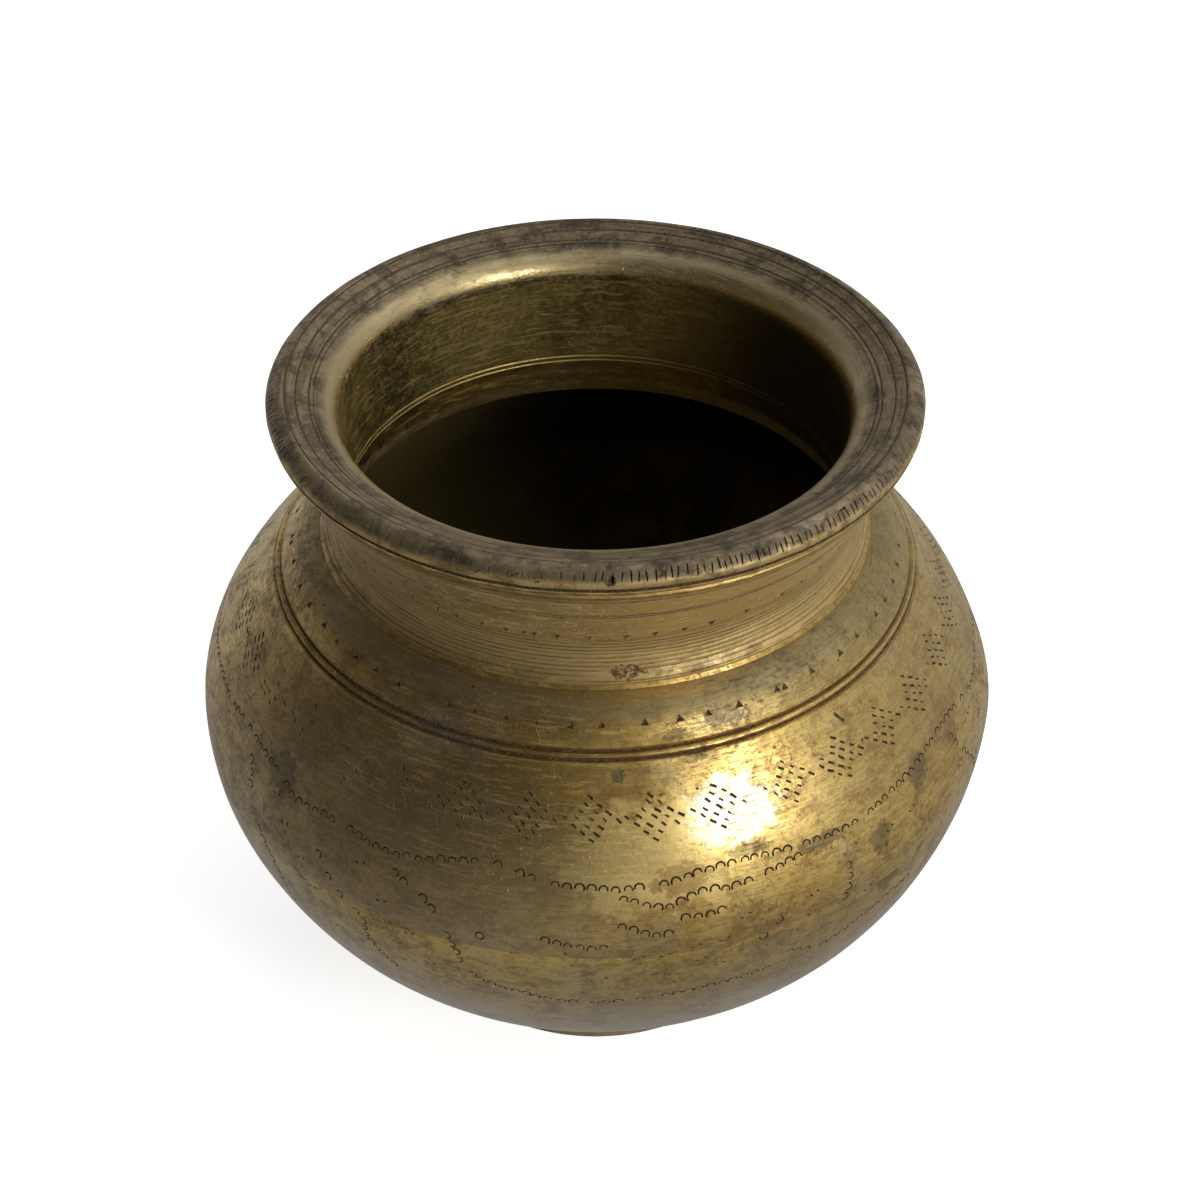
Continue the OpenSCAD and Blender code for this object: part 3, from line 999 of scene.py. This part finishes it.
def aged_brass(name, c, lean, stains_and_shading=None, tone=0.0, lathe_share=0.5):
    """Rubbed and tarnished brass; a piece's own function adds its stains and, on some pieces, painted light
    and shade.
    """
    f = Finish(name)
    blotch = f.grain(0.045, 4.0, 0.6, 0.8)
    mottle = f.grain(0.22, 5.0, 0.62, 0.5)
    fleck = f.grain(1.3, 4.0, 0.7)
    speck = f.grain(3.6, 2.0, 0.5)
    rings = f.lathe(lean, 1.8, 0.11)
    fine_rings = f.lathe(lean, 4.6, 0.08)
    dull = blotch * 0.5 + mottle * 0.35 + fleck * 0.15 + rings * 0.12 * lathe_share
    dull = dull.ease(0.42 - tone, 0.64 - tone)
    look = Look(f, f.mix(dull, c.bright, c.dull), 0.30 + dull * 0.10 + (fleck - 0.5) * 0.16)
    look.stain_and_shade((mottle * 0.5 + fleck * 0.5).ease(0.50 - tone * 0.5, 0.66), c.brown, 0.72, 0.10)
    cloud = f.grain(0.07, 3.0, 0.55, 1.2, f.vector(f.y, f.z, f.x))
    look.stain_and_shade((cloud * 0.7 + fleck * 0.3).ease(0.50, 0.66), c.grey, 0.3, 0.06)
    patchy = f.grain(0.13, 3.0, 0.55, 0.6, f.vector(f.z, f.x, f.y))
    look.stain_and_shade((patchy * 0.75 + fleck * 0.25).ease(0.54, 0.64), c.brown, 0.42, 0.05)
    grit = (speck * 0.55 + fleck * 0.45).ease(0.56, 0.66)
    look.stain_and_shade(grit, c.dark, 0.55, 0.14, 0.2)
    look.stain_and_shade(fine_rings.ease(0.50, 0.62), c.brown, 0.45 * lathe_share, 0.06)
    look.stain_and_shade(rings.ease(0.50, 0.60), c.brown, 0.26 * lathe_share, 0.03)
    look.stain_and_shade(rings.ease(0.47, 0.38), c.bright, 0.20 * lathe_share)
    freckle = f.grain(0.62, 5.0, 0.72, 0.3, f.vector(f.x * 0.6, f.y * 0.6, f.z))
    look.stain_and_shade(freckle.ease(0.50, 0.60), c.brown, 0.42, 0.05)
    if stains_and_shading:
        stains_and_shading(look, c)
    height = (rings * 0.3 + fine_rings * 0.45) * lathe_share + mottle * 0.4 + fleck * 0.55 - grit * 0.1
    height = height - scratches(f) * 0.5
    return f.done(look.colour, look.rough, height, metallic=look.metal, coat=look.coat)


def scratches(f):
    """Thin scratches running all ways."""
    total = None
    for turn, shift in ((0.3, 3), (-0.9, 8), (1.3, 15)):
        bent = f.node("ShaderNodeMapping", {}, {"Vector": f.mm, "Location": (shift, shift * 2, 0),
                                              "Rotation": (turn, turn * 0.7, turn * 1.9)}).outputs[0]
        parts = [Value(f, part) for part in f.node("ShaderNodeSeparateXYZ", {}, {0: bent}).outputs]
        line = f.grain(1.0, 1.0, 0.4, 0.3, f.vector(parts[0] * 0.06, parts[1] * 1.7, parts[2] * 0.9))
        hair = 1 - ((line - 0.5) * (line - 0.5)) ** 0.5 / 0.006
        hair = hair.ease(0.0, 1.0)
        worn = f.grain(0.12, 2.0, 0.5, 0.0, f.vector(f.z, f.x, f.y + shift)).ease(0.50, 0.62)
        hair = hair * worn
        total = hair if total is None else total.greater(hair)
    return total


def spots(f, *places):
    """1 inside any of several ragged spots; each place is what Finish.spot takes."""
    total = f.spot(*places[0])
    for place in places[1:]:
        total = total.greater(f.spot(*place))
    return total


def neck_stains_and_shading(look, c):
    f = look.f
    rim_top = f.z.ease(105.6, 107.4) * f.z.ease(106.9, 107.7).greater(f.r.ease(45.4, 45.0))
    wear = f.grain(0.30, 5.0, 0.7, 0.4)
    look.stain_and_shade(rim_top * (0.75 + wear.ease(0.35, 0.62) * 0.25), (0.26, 0.22, 0.155), 0.85, 0.14)
    look.stain_and_shade(rim_top * f.y.ease(0, 45), (0.10, 0.08, 0.05), 0.45, 0.05)
    look.stain_and_shade(rim_top * wear.ease(0.50, 0.62), (0.20, 0.130, 0.060), 0.7, 0.04)
    look.stain_and_shade(rim_top * f.grain(0.22, 4.0, 0.6, 0.5, f.vector(f.z, f.x, f.y)).ease(0.50, 0.60),
               (0.065, 0.054, 0.040), 0.5, 0.12)
    look.stain_and_shade(f.lathe(0.7, 1.2, 0.05).ease(0.48, 0.62) * rim_top, (0.050, 0.040, 0.028), 0.4, 0.08)
    worn = (f.grain(1.6, 4.0, 0.75).ease(0.56, 0.66) * rim_top)
    look.stain_and_shade(worn, (0.40, 0.33, 0.21), 0.5, -0.08)
    line = (1 - ((f.r - 41.0) ** 2) ** 0.5 / 0.16).ease(0.0, 0.8) * f.z.ease(107.5, 108)
    look.stain_and_shade(line, c.dark, 0.6, 0.15)
    lip = f.z.ease(102.5, 104.5) * f.r.ease(40.6, 38.8)
    look.stain_and_shade(lip, (0.60, 0.48, 0.26), 0.7, -0.11)
    groove = (1 - ((f.z - 107.05) ** 2) ** 0.5 / 0.55).ease(0.0, 0.6) * f.r.ease(45.6, 46.2)
    look.stain_and_shade(groove, (0.050, 0.024, 0.012), 0.9, 0.2, 0.4)
    band = f.z.ease(104.9, 105.5) * f.z.ease(108.9, 108.2) * f.r.ease(45.4, 45.9)
    look.stain_and_shade(band, (0.66, 0.48, 0.19), 0.75, -0.02)
    look.stain_and_shade(band * f.grain(0.35, 4.0, 0.65).ease(0.44, 0.60), (0.15, 0.085, 0.035), 0.6, 0.06)
    bore = f.r.ease(38.6, 37.9) * f.z.ease(106.0, 103.0)
    look.stain_and_shade(bore, (0.42, 0.33, 0.115), 0.7, 0.04)
    # Painted shade: the right side of the bore and the band at its foot are darkened
    bore = bore.greater(f.r.ease(39.9, 39.7) * f.z.ease(88.2, 87.9))
    look.stain_and_shade(bore * f.x.ease(6, 30), (0.040, 0.030, 0.012), 0.92, 0.1)
    # The neck's outside below the rim: painted light makes it paler and brighter, and painted shade darkens
    # its left side and its part below the row of points
    outside = f.z.ease(105.0, 103.5) * f.r.ease(38.7, 39.4)
    look.stain_and_shade(outside, (0.90, 0.72, 0.37), 0.6, 0.04)
    look.stain_and_shade(outside * f.x.ease(-10, -38), (0.26, 0.21, 0.135), 0.4, 0.04)
    look.stain_and_shade(outside * f.z.ease(94.2, 91.5), (0.42, 0.29, 0.105), 0.72, 0.08)
    turned = f.z.maths("COSINE", (f.z - 92.06) * (math.tau / 0.6)).ease(0.3, 0.95)
    broken = f.lathe(0.0, 1.1, 0.07).ease(0.40, 0.54)
    look.stain_and_shade(turned * broken * outside * f.z.ease(92.7, 92.3), (0.14, 0.080, 0.026), 0.65, 0.1)
    look.stain_and_shade(spots(f, (46, 42.5, 98.5, 1.5)), (0.085, 0.115, 0.075), 0.9, 0.35, 0.6)
    red = f.spot(6.5, 40.5, 87.0, 1.2, 1.0, 1.7) * f.grain(1.2, 3.0, 0.7).ease(0.36, 0.52)
    look.stain_and_shade(red, (0.11, 0.042, 0.018), 0.85, 0.2, 0.2)


def shoulder_stains_and_shading(look, c):
    f = look.f
    # Painted light: a wide pale golden patch at the front, below and left of the window's highlight
    look.stain_and_shade(f.spot(8, 57.5, 68.5, 8, 0.8, 1.7), (0.86, 0.64, 0.24), 0.6, -0.03)
    ragged = f.grain(0.8, 4.0, 0.7)
    crimp = spots(f, (-25, 48.6, 79.6, 2.0, 1.0, 2.0), (-21.5, 49.4, 78.4, 1.2, 1.0, 2.2))
    look.stain_and_shade(crimp * ragged.ease(0.36, 0.54), (0.060, 0.052, 0.042), 0.9, 0.25, 0.2)
    rust = spots(f, (-29, 44, 83.4, 3.2, 0.6, 2.0), (11.5, 59.4, 65, 2.6, 0.7, 1.6),
                 (-26.5, 55.8, 71, 3.6, 0.7, 1.2), (-47, 54, 73, 5, 0.7, 1.2))
    look.stain_and_shade(rust * (0.4 + ragged * 0.8), (0.16, 0.075, 0.020), 0.6, 0.12)
    left = f.node("ShaderNodeVectorMath", {"operation": "DOT_PRODUCT"}, {0: f.mm, 1: (-0.6, -0.8, 0.0)})
    left = Value(f, left.outputs["Value"])
    # Tarnish and painted shade: the front left turns browner in blotches
    look.stain_and_shade(left.ease(22, 60) * f.grain(0.06, 3.0, 0.6).ease(0.36, 0.58), (0.25, 0.135, 0.032), 0.35, 0.04)
    blots = spots(f, (-35.5, 54.7, 72.5, 1.7, 0.9), (-15.5, 54.7, 72.5, 0.85, 0.6),
                  (-50.5, 58.9, 66, 3.2, 0.7), (32.5, 59.7, 64.5, 1.5, 0.8, 3.4),
                  (52.5, 59.4, 65, 2.6, 0.8), (42, 61, 60.5, 2.2, 0.8))
    look.stain_and_shade(blots * (0.35 + ragged * 0.9), (0.062, 0.050, 0.034), 0.72, 0.2)
    green = f.spot(3.5, 50.6, 77.2, 1.1, 0.5) * f.grain(2.2, 2.0, 0.6).ease(0.25, 0.5)
    look.stain_and_shade(green, (0.060, 0.066, 0.030), 0.8, 0.3, 0.4)
    haze = spots(f, (22, 46.5, 81.6, 1.5, 0.9, 2.2), (13.5, 47.5, 80.9, 1.0, 0.8, 1.8),
                 (16, 49.6, 78.2, 0.8, 0.8, 2.6), (21.5, 58.3, 67, 1.3, 0.8, 2.6))
    look.stain_and_shade(haze * (0.3 + ragged), (0.10, 0.080, 0.038), 0.7, 0.10)
    # Painted shade, partly greyish stain: the collar is darker and rougher on the right, where the window
    # reflects
    collar = f.z.ease(79.6, 81.2) * f.x.ease(6, 24)
    look.stain_and_shade(collar, (0.27, 0.22, 0.11), 0.45, 0.14)
    look.stain_and_shade(f.z.ease(82.2, 83.8) * (0.4 + ragged), (0.33, 0.28, 0.165), 0.6, 0.12)
    # Painted shade: the right of the shoulder between heights 60 and 68 mm is dimmed with a tan
    look.stain_and_shade(f.x.ease(24, 44) * f.z.ease(60, 68), PAINTED_SHADE_TAN, 0.35, 0.06)
    # Painted highlight: a pale, nearly white patch where the window's highlight falls
    look.stain_and_shade(f.spot(20, 55, 72, 4.6, 0.6, 1.5), (0.80, 0.76, 0.62), 0.5, -0.03)
    # Painted reflection: the left of the shoulder is greyed as if it mirrored the pale floor
    look.stain_and_shade(left.ease(38, 62), PAINTED_REFLECTION_GREY, 0.35, 0.04)
    look.coat = 0.22 + f.z.ease(64, 54) * 0.2


def foot_stains(look, c):
    """The foot is rubbed grey where it stands."""
    look.stain_and_shade(look.f.z.ease(7, 3), (0.31, 0.25, 0.18), 0.75, 0.08)


def bowl_stains_and_shading(look, c):
    f = look.f
    # Painted reflection: the left of the bowl is greyed as if it mirrored the pale floor
    look.stain_and_shade(f.x.ease(-22, -50), PAINTED_REFLECTION_GREY, 0.4, 0.04)
    look.stain_and_shade(f.spot(43, 62, 54, 3.4, 0.6), c.dark, 0.55, 0.2)
    # Painted reflection: the lower bowl turns a patchy pale grey, as if it mirrored the pale floor
    low = f.z.ease(52, 24) * (0.45 + f.grain(0.09, 3.0, 0.6).ease(0.4, 0.6) * 0.5)
    look.stain_and_shade(low, (0.48, 0.43, 0.34), 0.8, 0.06)
    look.coat = 0.42 + f.z.ease(54, 34) * 0.4


def old_inside(name):
    """The inside, never polished: brown with black scale, and lighter towards the left as painted light
    entering by the mouth.
    """
    f = Finish(name)
    scale = f.grain(0.10, 4.0, 0.6, 0.6)
    grit = f.grain(1.1, 4.0, 0.7)
    colour = f.mix(scale.ease(0.35, 0.65), (0.10, 0.075, 0.030), (0.035, 0.028, 0.013))
    colour = f.mix(grit.ease(0.55, 0.75) * 0.6, colour, (0.015, 0.012, 0.009))
    # Painted light: the left of the inside is a lighter olive and less metallic
    left = f.x.ease(4, -40)
    colour = f.mix(left * 0.8, colour, (0.42, 0.33, 0.12))
    return f.done(colour, 0.42 + grit * 0.2, grit * 0.6 + scale * 0.4, metallic=1 - left * 0.75, coat=0.0)


def packed_dirt(name, c):
    """Dirt and wax in the bottom of the marks."""
    f = Finish(name)
    crumb = f.grain(3.0, 3.0, 0.6)
    colour = f.mix(crumb.ease(0.35, 0.7), c.dark, c.brown)
    return f.done(colour, 0.6 + crumb * 0.2, crumb, DIRT_BUMP, 0.1, 0.0)


# ---------------------------------------------------------------- operators

# Brightness of the room from straight down (0) to straight up (1), and its dim side
ROOM = [(0.0, 0.30), (0.26, 0.46), (0.44, 0.66), (0.54, 0.76), (0.66, 0.38), (1.0, 0.23)]
DIM_SIDE = (-0.72, -0.42, 0.55)
DIMNESS = 0.80
# Each light's size, its angle round the pot, its lift above the horizon and its distance in metres
LIGHTS = {"window": (0.19, 43, 23, 0.75), "overhead": (1.3, 150, 72, 1.3), "side": (0.9, 92, 46, 1.0)}
CAMERA_SHIFT = (0.0038, -0.0468)
SENSOR = 36


class POT_OT_stage(bpy.types.Operator):
    """Floor, soft studio lights and the camera"""
    bl_idname = "pot.stage"
    bl_label = "Stage"

    def execute(self, context):
        stage = context.scene.pot_stage
        middle = Vector((0, 0, Outline(context.scene.pot_sizes).line_z * MM))
        self.floor(stage)
        self.world(context)
        for name, power in (("window", stage.key), ("overhead", stage.top), ("side", stage.side)):
            self.light(name, power, *LIGHTS[name], middle)
        self.camera(context, stage, middle)
        return {"FINISHED"}

    def floor(self, stage):
        bm = bmesh.new()
        bmesh.ops.create_grid(bm, x_segments=1, y_segments=1, size=4)
        mesh = made(bm, "floor")
        floor = new_object("floor", mesh)
        paper = bpy.data.materials.new("paper")
        paper.use_nodes = True
        shader = paper.node_tree.nodes["Principled BSDF"]
        shader.inputs["Base Color"].default_value = (*stage.floor, 1)
        shader.inputs["Roughness"].default_value = 0.9
        shader.inputs["Emission Color"].default_value = (1, 1, 1, 1)
        shader.inputs["Emission Strength"].default_value = stage.glow
        mesh.materials.append(paper)
        floor.visible_glossy = False

    def world(self, context):
        """A pale room, bright at the horizon and dim at the upper left."""
        world = bpy.data.worlds.new("studio")
        context.scene.world = world
        world.use_nodes = True
        f = Finish("studio", world.node_tree)
        way = f.node("ShaderNodeTexCoord").outputs["Generated"]
        z = Value(f, f.node("ShaderNodeSeparateXYZ", {}, {0: way}).outputs[2])
        room = f.node("ShaderNodeValToRGB", {"stops": [(at, (level,) * 3) for at, level in ROOM]},
                      {0: z * 0.5 + 0.5}).outputs[0]
        shade = f.node("ShaderNodeVectorMath", {"operation": "DOT_PRODUCT"}, {0: way, 1: DIM_SIDE})
        level = 1 - Value(f, shade.outputs["Value"]).ease(0.1, 0.85) * DIMNESS
        back = f.node("ShaderNodeBackground", {}, {"Color": room, "Strength": level}).outputs[0]
        f.node("ShaderNodeOutputWorld", {}, {"Surface": back})

    def light(self, name, power, size, angle, lift, distance, target):
        data = bpy.data.lights.new(name, "AREA")
        data.shape = "DISK"
        data.size = size
        data.energy = power
        lamp = new_object(name, data)
        lamp.location = target + around(angle, distance * math.cos(math.radians(lift)),
                                        distance * math.sin(math.radians(lift)))
        lamp.rotation_euler = (target - lamp.location).to_track_quat("-Z", "Y").to_euler()

    def camera(self, context, stage, target):
        data = bpy.data.cameras.new("camera")
        data.lens = stage.lens
        data.sensor_width = SENSOR
        data.shift_x, data.shift_y = CAMERA_SHIFT
        camera = new_object("camera", data)
        camera.location = target + around(0, stage.distance * math.cos(stage.lift),
                                          stage.distance * math.sin(stage.lift))
        camera.rotation_euler = (math.pi / 2 - stage.lift, 0, 0)
        context.scene.camera = camera
        context.scene.view_settings.view_transform = "Standard"


class POT_OT_neck(bpy.types.Operator):
    """The cast and turned neck with its rim, points and nicks"""
    bl_idname = "pot.neck"
    bl_label = "Neck"

    def execute(self, context):
        sizes, marks, c = context.scene.pot_sizes, context.scene.pot_marks, context.scene.pot_finish
        outline = Outline(sizes)
        finishes = [aged_brass("neck_brass", c, 0.7, neck_stains_and_shading, 0.02, 1.0),
                    old_inside("neck_inside"), *[packed_dirt("neck_dirt", c)] * 2]
        low = SEAT_Z - 3
        cuts = outline.neck_cuts()

        def finish_at(r, z):
            if z < low:
                return INSIDE
            return LINE if near_cut(cuts, r, z, 0.13) else SHEET

        piece = spun("turned_neck", outline.neck(), sizes.around, worn_rim, finish_at, finishes)
        tools = Tools(Skin(outline.neck_outside(), worn_rim), marks.seed)
        strike_neck(tools, marks, outline.edge_z)
        struck(piece, tools.mesh())
        hand_in(piece, "turned_brass", "neck_rim")
        return {"FINISHED"}


def body_tools(outline, marks):
    """The punches of the body, which land on both shells and the seam between them."""
    skin = Skin(outline.body_outside(), uneven)
    tools = Tools(skin, marks.seed + 1)
    strike_collar(tools, marks)
    strike_body(tools, marks)
    strike_body_extras(tools, marks)
    return tools.mesh()


class POT_OT_shells(bpy.types.Operator):
    """The two raised shells with their punched decoration, and the spelter between them"""
    bl_idname = "pot.shells"
    bl_label = "Shells"

    def execute(self, context):
        sizes, marks, c = context.scene.pot_sizes, context.scene.pot_marks, context.scene.pot_finish
        outline = Outline(sizes)
        inner, dirt = old_inside("old_inside"), packed_dirt("packed_dirt", c)
        wall = sizes.wall
        collar = outline.collar()
        cuts = [outline.at_line(0, -0.25), outline.at_line(sizes.line_gap, -0.25)]

        def upper_at(r, z):
            if near_cut(cuts, r, z, 0.14):
                return LINE
            if z < outline.line_z - 1.4:
                at = max(z, sizes.belly_z)
                return INSIDE if r < (outline.dome_out(at).x + outline.dome_in(at).x) / 2 else SHEET
            return INSIDE if z < height_at(collar, r) - wall / 2 and r > outline.hole_r else SHEET

        def lower_at(r, z):
            if PAN_UP + 8 < z < sizes.belly_z:
                return INSIDE if r < (outline.bowl_out(z).x + outline.bowl_in(z).x) / 2 else SHEET
            above = z > outline.pan(min(r, FOOT_R)).y + wall / 2
            return INSIDE if above and r < BELLY_R - wall / 2 else SHEET

        shoulder = spun("raised_shoulder", outline.shoulder(), sizes.around, uneven, upper_at,
                        [aged_brass("shoulder_brass", c, -0.7, shoulder_stains_and_shading, 0.0, 0.8), inner, dirt, dirt])
        bowl = spun("raised_bowl", outline.bowl(), sizes.around, uneven, lower_at,
                    [aged_brass("bowl_brass", c, 0.7, bowl_stains_and_shading, 0.03, 0.3), inner, dirt])
        seam = spun("belly_seam", outline.belly_seam(), sizes.around, uneven,
                    lambda r, z: INSIDE if r < BELLY_R - 0.6 else SHEET,
                    [aged_brass("seam_brass", c, 0.0, None, 0.03, 0.3), inner, dirt])
        tools = body_tools(outline, marks)
        for piece in (shoulder, bowl, seam):
            struck(piece, tools.copy())
        bpy.data.meshes.remove(tools)
        hand_in(shoulder, "raised_brass", "shoulder_shell")
        hand_in(bowl, "raised_brass", "bowl_shell")
        hand_in(seam, "spelter", "belly_spelter")
        return {"FINISHED"}


class POT_OT_foot(bpy.types.Operator):
    """The foot ring and the spelter at the foot and the neck"""
    bl_idname = "pot.foot"
    bl_label = "Foot and seams"

    def execute(self, context):
        sizes, c = context.scene.pot_sizes, context.scene.pot_finish
        outline = Outline(sizes)
        brass = aged_brass("foot_brass", c, 0.7, foot_stains, 0.03, 0.8)
        spelter = aged_brass("spelter_brass", c, 0.7, None, 0.12, 0.2)
        still = lambda point: point
        plain = lambda r, z: SHEET
        foot = spun("foot", outline.foot(), sizes.around, still, plain, [brass])
        hand_in(foot, "foot_brass", "foot_ring")
        neck_seam = spun("neck_seam", outline.neck_seam(), sizes.around, still, plain, [spelter])
        hand_in(neck_seam, "spelter", "neck_spelter")
        foot_seam = spun("foot_seam", outline.foot_seam(), sizes.around, still, plain, [spelter])
        hand_in(foot_seam, "spelter", "foot_spelter")
        return {"FINISHED"}


class POT_PT_panel(bpy.types.Panel):
    """Sizes, marks, colours and the operators"""
    bl_label = "Brass Water Pot"
    bl_idname = "POT_PT_panel"
    bl_space_type = "VIEW_3D"
    bl_region_type = "UI"
    bl_category = "Pot"

    def draw(self, context):
        for operator in OPERATORS:
            self.layout.operator(operator.bl_idname)
        for group in (context.scene.pot_sizes, context.scene.pot_marks, context.scene.pot_finish,
                      context.scene.pot_stage):
            box = self.layout.box()
            for name in group.bl_rna.properties.keys():
                if name not in ("rna_type", "name"):
                    box.prop(group, name)


OPERATORS = (POT_OT_stage, POT_OT_neck, POT_OT_shells, POT_OT_foot)
GROUPS = {"pot_sizes": PotSizes, "pot_marks": PotMarks, "pot_finish": PotFinish, "pot_stage": PotStage}


def register():
    for cls in (*GROUPS.values(), *OPERATORS, POT_PT_panel):
        bpy.utils.register_class(cls)
    for name, group in GROUPS.items():
        setattr(bpy.types.Scene, name, PointerProperty(type=group))


def unregister():
    for name in GROUPS:
        delattr(bpy.types.Scene, name)
    for cls in reversed((*GROUPS.values(), *OPERATORS, POT_PT_panel)):
        bpy.utils.unregister_class(cls)


def main():
    register()
    bpy.ops.pot.stage()
    bpy.ops.pot.neck()
    bpy.ops.pot.shells()
    bpy.ops.pot.foot()


if __name__ == "__main__":
    main()
